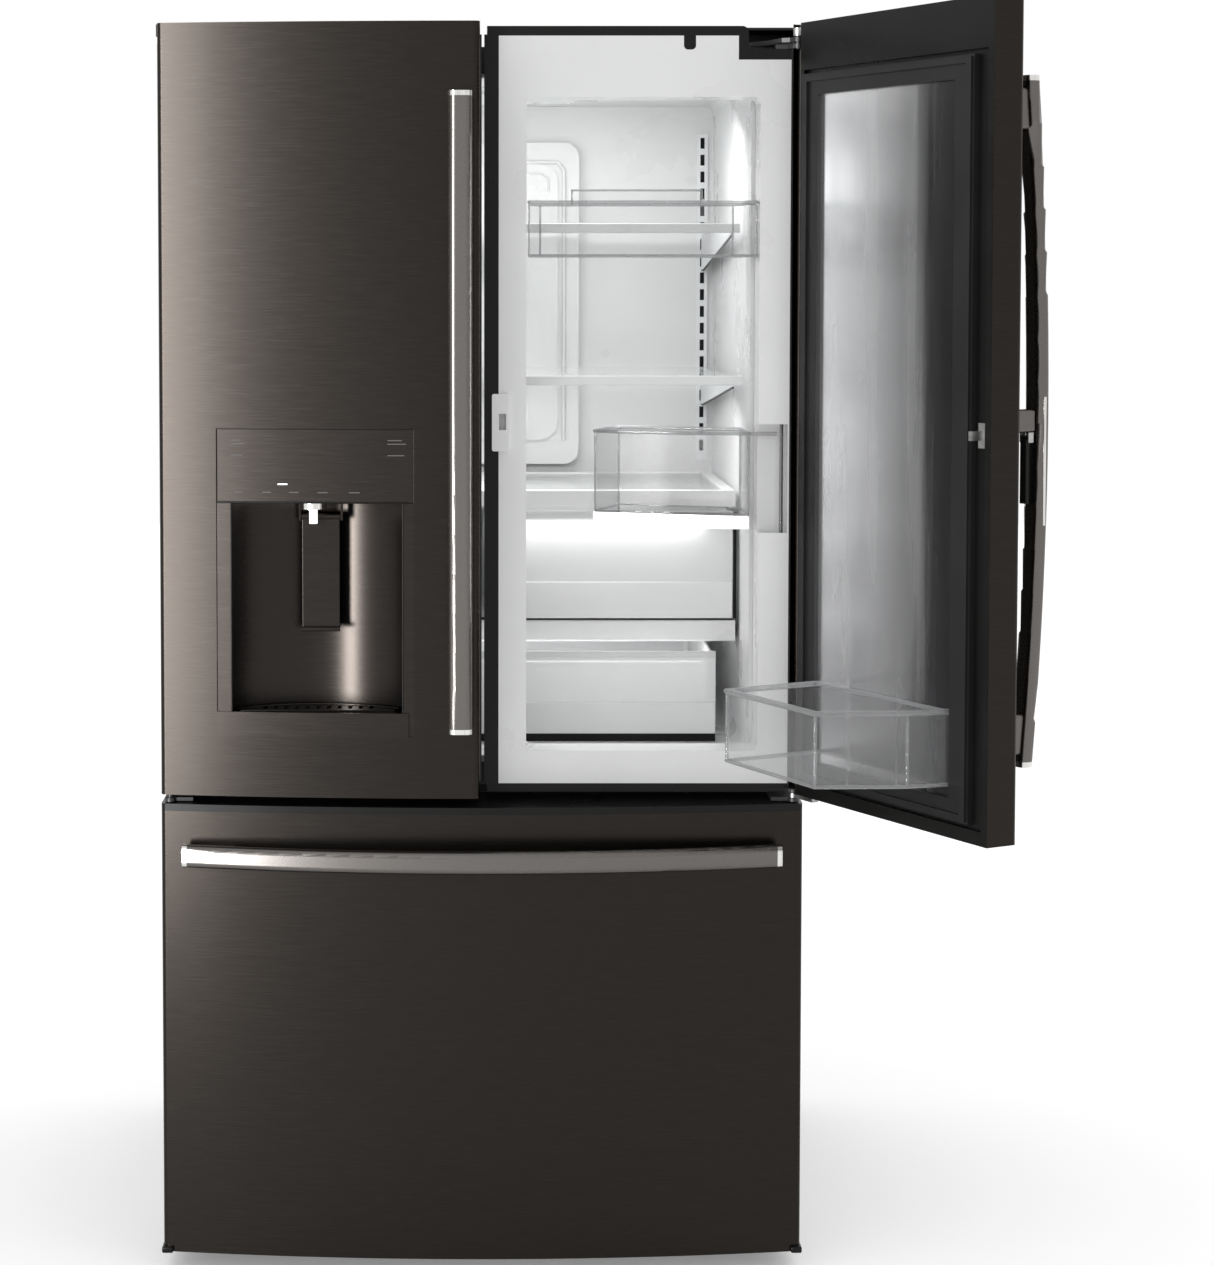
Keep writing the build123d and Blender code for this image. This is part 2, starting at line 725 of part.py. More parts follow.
def bar_band(length, depth_end, depth_middle, depth):
    """Arched band in the plan of its length; returned in local X, along the bar, and -Y."""
    half = length / 2
    outer = ThreePointArc((-half, -depth_end), (0, -depth_middle), (half, -depth_end))
    inner = ThreePointArc((half, -depth_end + depth), (0, -depth_middle + depth),
                          (-half, -depth_end + depth))
    ends = [Line((half, -depth_end), (half, -depth_end + depth)),
            Line((-half, -depth_end + depth), (-half, -depth_end))]
    return make_face([outer, ends[0], inner, ends[1]])


def bar(length, depth_end, depth_middle):
    band = bar_band(length, depth_end, depth_middle, BAR_DEPTH)
    solid = extrude(Pos(0, 0, -BAR_WIDTH / 2) * band, BAR_WIDTH, dir=(0, 0, 1))
    long_edges = [e for e in solid.edges() if e.length > length * 0.9]
    return fillet(long_edges, 8.8)


def bar_parts(length, depth_end, depth_middle):
    """Bar body and the two end caps cut from the same bowed shape."""
    whole = bar(length, depth_end, depth_middle)
    span = block(-length / 2 + BAR_CAP, length / 2 - BAR_CAP, -700, 50, -40, 40)
    return whole & span, whole - span


def door_handle(x, z0, z1):
    """Upright bar, its posts and its end caps for a door whose front passes x."""
    turn = Pos(x, bow_y(x), (z0 + z1) / 2) * Rot(0, 90, 0)
    body, caps = bar_parts(z1 - z0, BAR_END, BAR_MIDDLE)
    posts = []
    for end in (-1, 1):
        centre = end * ((z1 - z0) / 2 - 42)
        post = block(centre - 28, centre + 28, -BAR_END + 4, 1.5, -9, 9)
        posts.append(fillet(post.edges().filter_by(Axis.Y), 6))
    arm = joined([body] + posts)
    return turn * arm, turn * caps


def trimmed_to_front(shape, x0, x1, z0, z1):
    """Cut away whatever lies behind the bowed front."""
    return shape - bowed(x0, x1, -380, z0, z1)


# ------------------------------------------------- right inner frame and swing bin

FACE = (23.5, 697.0, 1753.5, 1720.0, 360.0)
CATCH = (14.0, 37.0, 1170.0, 1251.0)
STILE_POCKET = (391.0, 432.0, 1054.0, 1208.0)
STILE_POCKET_BACK = -418.0
SWING_PIN = 2.5


def frame_outline(y0, y1):
    right, top = FRAME_HINGE_SIDE, FRAME_TOP
    points = [(RIGHT_FREE, DOOR_BOTTOM), (right, DOOR_BOTTOM), (right, STEP_Z), (STEP_X, STEP_Z),
              (STEP_X, top), (RIGHT_FREE, top)]
    solid = wall_prism(points, y0, y1)
    inner_corner = [e for e in solid.edges().filter_by(Axis.Y)
                    if abs(e.center().X - STEP_X) < 1]
    return fillet(inner_corner, 9)


def frame_window():
    x0, x1, z0, z1 = WINDOW
    hole = rounded_block(x0, x1, FRAME_FRONT - 2, DOOR_BACK + 2, z0, z1, 9, Axis.Y)
    return hole


def frame_face():
    """White area of the front, inside the dark trim."""
    left, bottom, top, step, step_x = FACE
    right = FRAME_HINGE_SIDE
    points = [(left, bottom), (right + 1, bottom), (right + 1, step), (step_x, step),
              (step_x, top), (left, top)]
    area = wall_prism(points, FRAME_FRONT - 1, FRAME_FRONT + 4)
    return area - rounded_block(283, 300, -445, -430, 1734, 1760, 6, Axis.Y)


def frame_trim():
    slab = frame_outline(FRAME_FRONT, FRAME_FRONT + 4)
    fin = edge_seal(3, RIGHT_FREE)
    return slab - frame_face() - frame_lug(686, 691) + fin


def frame_chamfer():
    cut = CORNER_CHAMFER
    points = [(RIGHT_FREE - 1, DOOR_BACK - 1 - cut), (RIGHT_FREE + cut, DOOR_BACK),
              (RIGHT_FREE - 1, DOOR_BACK + 1)]
    return plan_prism(points, DOOR_BOTTOM - 1, DOOR_TOP + 1)


def frame_lug(z0, z1):
    """Lug whose outline clears the outer door's turning edge."""
    outline = [(-7, -3), (-10.5, 4), (-14, 10.2), (-30, 10.2), (-30, 22), (-9, 22),
               (-9, 10.5), (-7.5, 7), (0, 6), (0, -5)]
    plate = plan_prism([(HINGE_X + x, HINGE_Y + y) for x, y in outline], z0, z1)
    boss = rod((HINGE_X, HINGE_Y, z0), (0, 0, 1), 7, z1 - z0)
    return plate + boss - pin_bore(z0, z1)


def frame_lugs():
    return grouped([frame_lug(STEP_Z, STEP_Z + 6), frame_lug(686, 691)])


def catch_recess():
    return block(24, 34, FRAME_FRONT - 6, -426, 1200, 1223)


def frame_panel():
    """Moulded white inner door with its window."""
    panel = frame_outline(FRAME_FRONT, DOOR_BACK)
    panel = panel - (frame_outline(FRAME_FRONT, FRAME_FRONT + 4) - frame_face())
    x0, x1, z0, z1 = STILE_POCKET
    pocket = block(x0 - 1, x1, FRAME_FRONT - 1, STILE_POCKET_BACK, z0, z1)
    panel = panel - frame_window() - frame_chamfer() - pocket - frame_lug(686, 691)
    return panel - catch_recess() - swing_bin_pin()


def latch_catch():
    x0, x1, z0, z1 = CATCH
    plate = rounded_block(x0, x1, FRAME_FRONT - 5, FRAME_FRONT, z0, z1, 3, Axis.Y)
    return plate - catch_recess()


def frame_gasket():
    return ring((20, 428, 694, 1728), (46, 402, 718, 1704), DOOR_BACK, GASKET_Y)


def frame_top_bin():
    face = make_face(Polyline((64.5, -436), (389, -436), (389, -378), (380, -370), (380, -330),
                              (366, -312), (84, -312), (68, -330), close=True))
    rim = block(130, 320, -314.5, -312, 1520, 1543)
    return tub(face, 1444, 1522, 2.5, 3) + rim


def swing_bin_pin():
    x, y = BIN_PIVOT
    return rod((x, y, 1046), (0, 0, 1), SWING_PIN, 170)


def swing_bin():
    """Turning bin: its right end reaches over the stile to a vertical pin."""
    px, py = BIN_PIVOT
    front = ThreePointArc((379, -426.5), (291, -402), (163, -352))
    back = Polyline((163, -352), (203, -238), (379, -306), (379, -426.5))
    basin = tub(make_face([front, back]), 1058, 1195, 2.5, 3)
    reach = [(377, -422), (px - 1, -425), (px - 1, py - 5), (377, -426)]
    body = basin + plan_prism(reach, 1058, 1195)
    knuckle = rod((px, py, 1058), (0, 0, 1), 5, 137)
    bore = rod((px, py, 1050), (0, 0, 1), SWING_PIN + PIN_FIT, 160)
    return body + knuckle - bore


# ---------------------------------------------------------------- right outer door

INNER_PANEL = (84.0, 386.0, 737.0, 1667.0)
INNER_GASKET = (44.0, 422.0, 709.0, 1697.0)
RECESS = 6.0
STRIKER_X = 29.0
STRIKER_Z = 1211.5


def opened(shape):
    """Closed position of the outer door turned to where it stands at rest."""
    turn = Pos(HINGE_X, HINGE_Y, 0) * Rot(0, 0, OPEN_ANGLE) * Pos(-HINGE_X, -HINGE_Y, 0)
    return turn * shape


def outer_door_skin():
    skin = bowed_skin(RIGHT_FREE, FRONT_HALF, OUTER_BACK, DOOR_BOTTOM, DOOR_TOP)
    skin = skin - block(448, 456, HINGE_Y, OUTER_BACK + 1, DOOR_BOTTOM - 1, DOOR_TOP + 1)
    return skin - block(448, 456, HINGE_Y - 8, OUTER_BACK + 1, CAB_TOP - 3, CAB_TOP + 8)


def outer_core_region(y_back, z0, z1):
    core = bowed_core(RIGHT_FREE, FRONT_HALF, y_back, z0, z1)
    return core - block(OUTER_CORE_END, 460, -520, -440, z0 - 1, z1 + 1)


def outer_lug(z0, z1):
    plate = block(HINGE_X - 50, HINGE_X, HINGE_Y - 7, HINGE_Y + 3.5, z0, z1)
    boss = rod((HINGE_X, HINGE_Y, z0), (0, 0, 1), 7, z1 - z0)
    return plate + boss - pin_bore(z0, z1)


def outer_door_core():
    core = outer_core_region(OUTER_BACK, DOOR_BOTTOM + CAP, DOOR_TOP - CAP)
    recess = block(19, INNER_GASKET[1], OUTER_BACK - RECESS, OUTER_BACK + 1, 703, 1703)
    return core - recess - outer_lug(1752, DOOR_TOP - CAP)


def outer_door_cap(z0):
    return outer_core_region(OUTER_BACK, z0, z0 + CAP)


def outer_door_lugs():
    return grouped([outer_lug(1752, DOOR_TOP - CAP), outer_lug(679.5, DOOR_BOTTOM)])


def outer_door_gasket():
    """Raised dark frame with a soft lip round the reflective panel."""
    outer = INNER_GASKET
    base = ring(outer, INNER_PANEL, OUTER_BACK - RECESS, OUTER_BACK + 2)
    lip_outer = (outer[0] + 3, outer[1] - 3, outer[2] + 3, outer[3] - 3)
    lip_inner = (outer[0] + 14, outer[1] - 14, outer[2] + 11, outer[3] - 11)
    lip = ring(lip_outer, lip_inner, OUTER_BACK + 2, OUTER_BACK + 5.5)
    return base + lip


def outer_door_panel():
    x0, x1, z0, z1 = INNER_PANEL
    return block(x0, x1, OUTER_BACK - RECESS, OUTER_BACK - RECESS + 1.5, z0, z1)


def latch_striker():
    """Hook that enters the catch on the inner frame."""
    base = block(STRIKER_X - 8, STRIKER_X + 8, OUTER_BACK - RECESS, OUTER_BACK - RECESS + 2,
                 STRIKER_Z - 16, STRIKER_Z + 16)
    neck = block(STRIKER_X - 2, STRIKER_X + 2, OUTER_BACK - RECESS + 2, -431,
                 STRIKER_Z - 6, STRIKER_Z + 6)
    head = block(STRIKER_X - 2, STRIKER_X + 4, -434, -431, STRIKER_Z - 6, STRIKER_Z + 6)
    return joined([base, neck, head])


BIN_FRONT = 155.0


def outer_door_bin():
    """Wedge-shaped bottom bin, narrow enough to pass the window while the door turns."""
    y0 = OUTER_BACK - RECESS + 1.5
    x_in, x_out = HINGE_X - 60, HINGE_X - 350
    face = make_face(Polyline((x_in, y0), (x_in, y0 + BIN_FRONT), (HINGE_X - 285, y0 + 166),
                              (HINGE_X - 338, y0 + 57), (x_out, y0), close=True))
    return tub(face, 751, 850, 2.5, 3)


TRIGGER_AXIS_Z = 1205.0
INSERT = (1094.0, 1260.0)


def trigger_axis_y():
    return bow_y(RIGHT_FREE + HANDLE_INSET) - BAR_MIDDLE + BAR_DEPTH + 7


def handle_insert():
    """Bright strip let into the side of the bar beside the trigger."""
    side = RIGHT_FREE + HANDLE_INSET - BAR_WIDTH / 2
    z0, z1 = INSERT
    y = bow_y(RIGHT_FREE + HANDLE_INSET) - BAR_MIDDLE + BAR_DEPTH / 2
    return block(side - 1.2, side + 0.6, y - 1.0, y + 2.6, z0, z1)


def handle_centre_post():
    x = RIGHT_FREE + HANDLE_INSET
    y = bow_y(x)
    post = rounded_block(x - 9, x + 9, y - BAR_MIDDLE + BAR_DEPTH + 1.5, y + 1.5, 1214, 1244, 4,
                         Axis.Y)
    return trimmed_to_front(post, 10, 80, 1200, 1250)


def trigger_pin():
    """Cross pin in two ears under the centre post."""
    x = RIGHT_FREE + HANDLE_INSET
    y = trigger_axis_y()
    pin = rod((x - 9, y, TRIGGER_AXIS_Z), (1, 0, 0), 2, 18)
    ears = [block(x + s, x + s + 2, y - 4, y + 4, TRIGGER_AXIS_Z - 4, 1214) for s in (-9, 7)]
    return joined(ears + [pin])


def release_trigger():
    x = RIGHT_FREE + HANDLE_INSET
    y = trigger_axis_y()
    lever = rounded_block(x - 6.5, x + 6.5, y - 1, y + 6, 1122, TRIGGER_AXIS_Z, 2, Axis.Z)
    knuckle = rod((x - 6.5, y, TRIGGER_AXIS_Z), (1, 0, 0), 5, 13)
    bore = rod((x - 7, y, TRIGGER_AXIS_Z), (1, 0, 0), 2 + PIN_FIT, 14)
    return lever + knuckle - bore


# ---------------------------------------------------------------- freezer drawer

DRAWER_BAR_Z = 604.0
DRAWER_BAR = 842.0


def drawer_handle():
    """Bowed bar across the drawer front, with posts near its ends."""
    turn = Pos(0, 0, DRAWER_BAR_Z)
    end_y = -bow_y(DRAWER_BAR / 2) + BAR_END
    middle_y = -bow_y(0) + BAR_MIDDLE
    body, caps = bar_parts(DRAWER_BAR, end_y, middle_y)
    posts = []
    for side in (-1, 1):
        x = side * 377
        post = block(x - 30, x + 30, -end_y + 4, -440, -9, 9)
        post = fillet(post.edges().filter_by(Axis.Y), 6)
        posts.append(post - bowed(-450, 450, -400, -20, 20))
    return turn * joined([body] + posts), turn * caps


def drawer_basket():
    tub_body = open_box(-368, 368, -372, 70, 112, 470, 3, 20)
    for side in (-1, 1):
        for step in range(6):
            z = 180 + step * 45
            x = side * 368
            tub_body = tub_body - block(x - 5, x + 5, -300, -20, z, z + 14)
    return tub_body


def drawer_slides():
    members = []
    for side in (-1, 1):
        inner, outer = side * 368, side * (FREEZER_HALF - 5.3)
        members.append(block(min(inner, outer), max(inner, outer), DOOR_BACK, 62,
                             SLIDE_Z + 6, SLIDE_Z + 34))
    return grouped(members)


# ---------------------------------------------------------------- write every node

def write_cabinet():
    save(cabinet_shell(), "cabinet_shell")
    save(grouped([cabinet_back(), machine_cover()]), "rear_panels")
    save(grouped([base_pan(), levelling_feet(), roller_brackets()]), "base_and_feet")
    save(liner(FRESH_HALF, FRESH_BACK, FRESH_BOTTOM, FRESH_TOP), "fresh_liner")
    save(liner(FREEZER_HALF, FREEZER_BACK, FREEZER_BOTTOM, FREEZER_TOP), "freezer_liner")
    save(insulation(), "insulation")
    covers = [hinge_cover(), mirrored(hinge_cover())]
    save(grouped([centre_fascia()] + covers), "fascia_and_hinge_covers")
    save(grouped([roller(ROLLER_X), roller(-ROLLER_X)]), "rear_rollers")
    arms = [upper_hinge(10), mirrored(upper_hinge(0))]
    save(grouped(arms + [lower_hinge(), mirrored(lower_hinge())]), "cabinet_hinges")
    save(air_tower(), "air_tower")
    save(grouped([shelf_ladders(), shelf_brackets()]), "shelf_supports")
    save(grouped([shelf_glass(), crisper_glass()]), "shelf_glass")
    save(grouped([shelf_trims(), crisper_cover(), drawer_divider()]), "shelf_frames")
    drawers = [crisper(-374, -6), crisper(6, 374), deli_drawer()]
    save(grouped(drawers), "crisper_drawers")
    save(grouped([ceiling_light(), water_filter()]), "ceiling_fittings")
    save(compressor(), "compressor")
    machinery = [condenser(), condenser_fan_shroud(), drain_pan(), control_box()]
    save(grouped(machinery), "condenser_set")
    save(condenser_fan(), "condenser_fan")
    save(grouped([evaporator(), evaporator_fan_motor()]), "evaporator")
    save(evaporator_cover(), "evaporator_cover")
    save(evaporator_fan(), "evaporator_fan")
    save(grouped([water_inlet(), cord_gland()]), "rear_fittings")
    save(fixed_slides(), "fixed_slides")


def write_left_door():
    save(left_door_skin(), "left_door_skin")
    save(left_door_core(), "left_door_core")
    save(grouped([left_door_liner(), flap_brackets()]), "left_door_liner")
    top = left_door_cap(DOOR_TOP - CAP) - left_notch()
    bottom = left_door_cap(DOOR_BOTTOM) - pin_bore(DOOR_BOTTOM, DOOR_BOTTOM + CAP, -HINGE_X)
    save(grouped([top, bottom, left_hinge_block()]), "left_door_caps")
    save(grouped([left_door_gasket(), edge_seal(LEFT_FREE, -0.5)]), "left_door_gasket")
    save(centre_flap(), "centre_flap")
    save(dispenser_panel(), "dispenser_panel")
    save(dispenser_housing(), "dispenser_housing")
    save(grouped([dispenser_tray(), dispenser_nozzle(), dispenser_pin()]), "dispenser_fittings")
    save(dispenser_paddle(), "dispenser_paddle")
    save(ice_compartment(), "ice_compartment")
    save(grouped([left_door_bin(1010, 1100), left_door_bin(780, 880)]), "left_door_bins")
    handle, caps = door_handle(LEFT_FREE - HANDLE_INSET, *DOOR_BAR)
    save(trimmed_to_front(handle, -200, -4, 700, 1750), "left_handle")
    save(caps, "left_handle_caps")


def write_inner_frame():
    save(frame_panel(), "frame_panel")
    save(grouped([frame_trim(), frame_gasket()]), "frame_trim")
    save(grouped([frame_lugs(), swing_bin_pin()]), "frame_lugs_and_pin")
    save(latch_catch(), "latch_catch")
    save(frame_top_bin(), "frame_top_bin")
    save(swing_bin(), "swing_bin")


def write_outer_door():
    save(opened(outer_door_skin()), "outer_door_skin")
    save(opened(outer_door_core()), "outer_door_core")
    caps = [outer_door_cap(DOOR_TOP - CAP), outer_door_cap(DOOR_BOTTOM)]
    save(opened(grouped(caps)), "outer_door_caps")
    metalwork = [outer_door_lugs(), latch_striker(), trigger_pin()]
    save(opened(grouped(metalwork)), "outer_door_metalwork")
    save(opened(outer_door_gasket()), "outer_door_gasket")
    save(opened(outer_door_panel()), "outer_door_panel")
    save(opened(outer_door_bin()), "outer_door_bin")
    handle, caps = door_handle(RIGHT_FREE + HANDLE_INSET, *DOOR_BAR)
    handle = trimmed_to_front(handle, 8, 200, 700, 1750) + handle_centre_post()
    save(opened(handle - handle_insert()), "outer_handle")
    save(opened(grouped([caps, handle_insert()])), "outer_handle_brights")
    save(opened(release_trigger()), "release_trigger")


def write_drawer():
    half = FRONT_HALF
    save(bowed_skin(-half, half, -390, DRAWER_BOTTOM, DRAWER_TOP - 10), "drawer_skin")
    core = bowed_core(-half, half, DOOR_BACK, DRAWER_BOTTOM + CAP, DRAWER_TOP - 10)
    save(core, "drawer_core")
    cap = bowed(-half, half, DOOR_BACK, DRAWER_TOP - 10, DRAWER_TOP)
    front = upright_edges(cap, lambda c: c.Y < DOOR_BACK - 1)
    bottom = bowed_core(-half, half, DOOR_BACK, DRAWER_BOTTOM, DRAWER_BOTTOM + CAP)
    gasket = ring((-430, 430, 58, 650), (-402, 402, 86, 628), DOOR_BACK, GASKET_Y)
    save(grouped([fillet(front, EDGE_RADIUS), bottom, gasket]), "drawer_trim")
    handle, caps = drawer_handle()
    save(handle, "drawer_handle")
    save(caps, "drawer_handle_caps")
    save(drawer_basket(), "drawer_basket")
    save(drawer_slides(), "drawer_slides")


write_cabinet()
write_left_door()
write_inner_frame()
write_outer_door()
write_drawer()
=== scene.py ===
import json
import math

import bmesh
import bpy
from mathutils import Matrix, Vector


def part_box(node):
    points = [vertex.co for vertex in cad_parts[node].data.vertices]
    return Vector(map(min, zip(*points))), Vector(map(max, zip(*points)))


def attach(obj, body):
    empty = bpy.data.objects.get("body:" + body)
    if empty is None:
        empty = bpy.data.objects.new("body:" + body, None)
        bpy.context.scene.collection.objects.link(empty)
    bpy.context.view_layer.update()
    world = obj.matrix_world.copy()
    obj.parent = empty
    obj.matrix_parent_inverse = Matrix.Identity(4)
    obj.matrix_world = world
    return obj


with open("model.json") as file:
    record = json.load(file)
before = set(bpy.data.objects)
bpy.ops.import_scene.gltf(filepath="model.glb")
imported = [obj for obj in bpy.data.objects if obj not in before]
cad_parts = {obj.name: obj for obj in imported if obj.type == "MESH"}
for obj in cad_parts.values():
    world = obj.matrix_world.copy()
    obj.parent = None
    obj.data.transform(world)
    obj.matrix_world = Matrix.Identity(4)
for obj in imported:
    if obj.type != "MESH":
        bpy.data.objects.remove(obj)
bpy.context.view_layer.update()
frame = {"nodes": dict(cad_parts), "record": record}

MM = 0.001
NODES = frame["nodes"]


# ---------------------------------------------------------------- materials

class Shader:
    """A Principled material with short helpers for its nodes."""

    def __init__(self, name, base, rough, metallic=0.0, **sockets):
        self.material = bpy.data.materials.new(name)
        self.material.use_nodes = True
        self.tree = self.material.node_tree
        self.bsdf = self.tree.nodes["Principled BSDF"]
        self.set("Base Color", (*base, 1.0))
        self.set("Roughness", rough)
        self.set("Metallic", metallic)
        for socket, value in sockets.items():
            self.set(socket.replace("_", " "), value)

    def set(self, socket, value):
        self.bsdf.inputs[socket].default_value = value

    def node(self, kind, **inputs):
        made = self.tree.nodes.new(kind)
        for name, value in inputs.items():
            made.inputs[name.replace("_", " ")].default_value = value
        return made

    def link(self, output, target):
        self.tree.links.new(output, target)

    def coords(self, scale):
        texture = self.node("ShaderNodeTexCoord")
        mapping = self.node("ShaderNodeMapping")
        mapping.inputs["Scale"].default_value = scale
        self.link(texture.outputs["Object"], mapping.inputs["Vector"])
        return mapping.outputs["Vector"]

    def noise(self, scale, stretch=(1, 1, 1), detail=4.0):
        noise = self.node("ShaderNodeTexNoise", Scale=scale, Detail=detail)
        self.link(self.coords(stretch), noise.inputs["Vector"])
        return noise.outputs["Fac"]

    def ramp(self, value, low, high, from_low=0.3, from_high=0.7):
        mapped = self.node("ShaderNodeMapRange")
        mapped.inputs["From Min"].default_value = from_low
        mapped.inputs["From Max"].default_value = from_high
        mapped.inputs["To Min"].default_value = low
        mapped.inputs["To Max"].default_value = high
        self.link(value, mapped.inputs["Value"])
        return mapped.outputs["Result"]

    def tint(self, value, dark, light):
        ramp = self.node("ShaderNodeValToRGB")
        ramp.color_ramp.elements[0].position = 0.3
        ramp.color_ramp.elements[1].position = 0.7
        ramp.color_ramp.elements[0].color = (*dark, 1)
        ramp.color_ramp.elements[1].color = (*light, 1)
        self.link(value, ramp.inputs["Fac"])
        self.link(ramp.outputs["Color"], self.bsdf.inputs["Base Color"])

    def bump(self, value, strength, distance):
        bump = self.node("ShaderNodeBump", Strength=strength, Distance=distance)
        self.link(value, bump.inputs["Height"])
        self.link(bump.outputs["Normal"], self.bsdf.inputs["Normal"])


def brushed(name, dark, light, rough, stretch, spread=0.06, scale=60.0, bump=0.05):
    """Metal with fine brush lines along the axis that stretch leaves long."""
    shader = Shader(name, light, rough, 1.0)
    lines = shader.noise(scale, stretch, 6.0)
    shader.tint(lines, dark, light)
    gloss = shader.ramp(lines, rough - spread, rough + spread)
    shader.link(gloss, shader.bsdf.inputs["Roughness"])
    shader.bump(lines, bump, 0.0004)
    return shader.material


def moulded(name, dark, light, rough, grain=900.0, bump=0.08, spread=0.05, **sockets):
    """Moulded plastic, rubber or paint: fine grain, slight colour and gloss variation."""
    shader = Shader(name, light, rough, 0.0, **sockets)
    cloud = shader.noise(7.0)
    shader.tint(cloud, dark, light)
    gloss = shader.ramp(cloud, rough - spread, rough + spread)
    shader.link(gloss, shader.bsdf.inputs["Roughness"])
    shader.bump(shader.noise(grain), bump, 0.0002)
    return shader.material


def clear(name, colour, rough, ior, face_on, edge_on):
    """Thin clear plastic or glass, denser where it is seen edge-on."""
    shader = Shader(name, colour, rough, 0.0, IOR=ior)
    wave = shader.noise(16.0)
    shader.link(shader.ramp(wave, rough, rough + 0.04), shader.bsdf.inputs["Roughness"])
    facing = shader.node("ShaderNodeLayerWeight", Blend=0.35)
    cover = shader.ramp(facing.outputs["Facing"], face_on, edge_on, 0.1, 0.9)
    shader.link(cover, shader.bsdf.inputs["Alpha"])
    shader.bump(wave, 0.05, 0.001)
    return shader.material


def painted_reflection_panel(name):
    """Polished sheet whose base colour is a painted reflection: bright near its hinge, darker past
    a soft edge, with painted streaks that also vary its roughness.
    """
    shader = Shader(name, (0.5, 0.5, 0.5), 0.24, 1.0)
    split = shader.node("ShaderNodeSeparateXYZ")
    shader.link(shader.coords((1.0, 1.0, 1.0)), split.inputs["Vector"])
    # painted reflection: the base colour falls from bright near the hinge to dark across the panel
    painted_reflection_falloff = shader.ramp(split.outputs["Y"], 0.0, 1.0, -0.8, -0.47)
    streaks = shader.noise(26.0, (1.0, 1.0, 0.05))
    sum_node = shader.node("ShaderNodeMath")
    sum_node.operation = "MULTIPLY_ADD"
    shader.link(streaks, sum_node.inputs[0])
    sum_node.inputs[1].default_value = 0.22
    shader.link(painted_reflection_falloff, sum_node.inputs[2])
    ramp = shader.node("ShaderNodeValToRGB")
    stops = ramp.color_ramp.elements
    stops[0].position, stops[0].color = 0.36, (0.085, 0.085, 0.088, 1)
    stops[1].position, stops[1].color = 1.0, (0.85, 0.85, 0.86, 1)
    middle = stops.new(0.46)
    middle.color = (0.42, 0.42, 0.425, 1)
    shader.link(sum_node.outputs["Value"], ramp.inputs["Fac"])
    shader.link(ramp.outputs["Color"], shader.bsdf.inputs["Base Color"])
    shader.link(shader.ramp(streaks, 0.2, 0.3), shader.bsdf.inputs["Roughness"])
    shader.bump(shader.noise(8.0, (1.0, 1.0, 0.4)), 0.06, 0.002)
    return shader.material


def glowing(name, colour, strength):
    """Plastic that glows by itself: lit from inside on the dash, a painted glow on the outlet
    tube.
    """
    shader = Shader(name, colour, 0.4, 0.0, Emission_Strength=strength)
    shader.set("Emission Color", (*colour, 1.0))
    shader.bump(shader.noise(300.0), 0.05, 0.0002)
    return shader.material


# Stretch of a noise: a small value draws it out along that axis.
ALONG_X = (0.02, 1.0, 1.0)
ALONG_Z = (1.0, 1.0, 0.02)
ACROSS = (0.02, 0.02, 1.0)
EVEN = (1.0, 1.0, 1.0)


def make_materials():
    """One material for each slot of the record."""
    return {
        "black_stainless": brushed("black_stainless", (0.0225, 0.0195, 0.0175),
                                   (0.0262, 0.0232, 0.0208), 0.265, ACROSS, 0.015, 1300.0, 0.008),
        "dark_handle": brushed("dark_handle", (0.125, 0.116, 0.11), (0.148, 0.138, 0.13), 0.27,
                               EVEN, 0.02, 1500.0, 0.008),
        "bright_metal": brushed("bright_metal", (0.6, 0.59, 0.57), (0.78, 0.77, 0.75), 0.18,
                                ALONG_Z, 0.04, 500.0, 0.02),
        "reflective_panel": painted_reflection_panel("reflective_panel"),
        "black_plastic": moulded("black_plastic", (0.0045, 0.0043, 0.0041),
                                 (0.007, 0.0067, 0.0064), 0.3, Specular_IOR_Level=0.16),
        "dark_gasket": moulded("dark_gasket", (0.012, 0.012, 0.0122), (0.017, 0.017, 0.0175),
                               0.36, 500.0, Specular_IOR_Level=0.22),
        "dispenser_dark": brushed("dispenser_dark", (0.0255, 0.0222, 0.02),
                                  (0.0295, 0.026, 0.0236), 0.26, ACROSS, 0.02, 1300.0, 0.008),
        "white_plastic": moulded("white_plastic", (0.69, 0.692, 0.694), (0.73, 0.732, 0.734), 0.3,
                                 700.0, 0.03),
        "clear_plastic": clear("clear_plastic", (0.5, 0.505, 0.51), 0.03, 1.45, 0.04, 0.36),
        "shelf_glass": clear("shelf_glass", (0.6, 0.63, 0.62), 0.03, 1.5, 0.12, 0.45),
        "cabinet_paint": moulded("cabinet_paint", (0.018, 0.0175, 0.017), (0.026, 0.025, 0.0245),
                                 0.42, 1200.0, 0.25),
        "steel": brushed("steel", (0.3, 0.3, 0.3), (0.48, 0.48, 0.47), 0.32, ALONG_X),
        "white_steel": moulded("white_steel", (0.74, 0.75, 0.76), (0.8, 0.81, 0.82), 0.35),
        "foam": moulded("foam", (0.62, 0.5, 0.24), (0.75, 0.64, 0.36), 0.9, 120.0, 0.5),
        "machine_steel": moulded("machine_steel", (0.012, 0.012, 0.012), (0.02, 0.02, 0.021), 0.4),
        "coil_aluminium": brushed("coil_aluminium", (0.45, 0.46, 0.47), (0.62, 0.63, 0.64), 0.38,
                                  ALONG_X),
        "fan_plastic": moulded("fan_plastic", (0.01, 0.01, 0.011), (0.018, 0.018, 0.019), 0.45),
        "fitting_plastic": moulded("fitting_plastic", (0.04, 0.07, 0.12), (0.06, 0.1, 0.16), 0.4),
    }


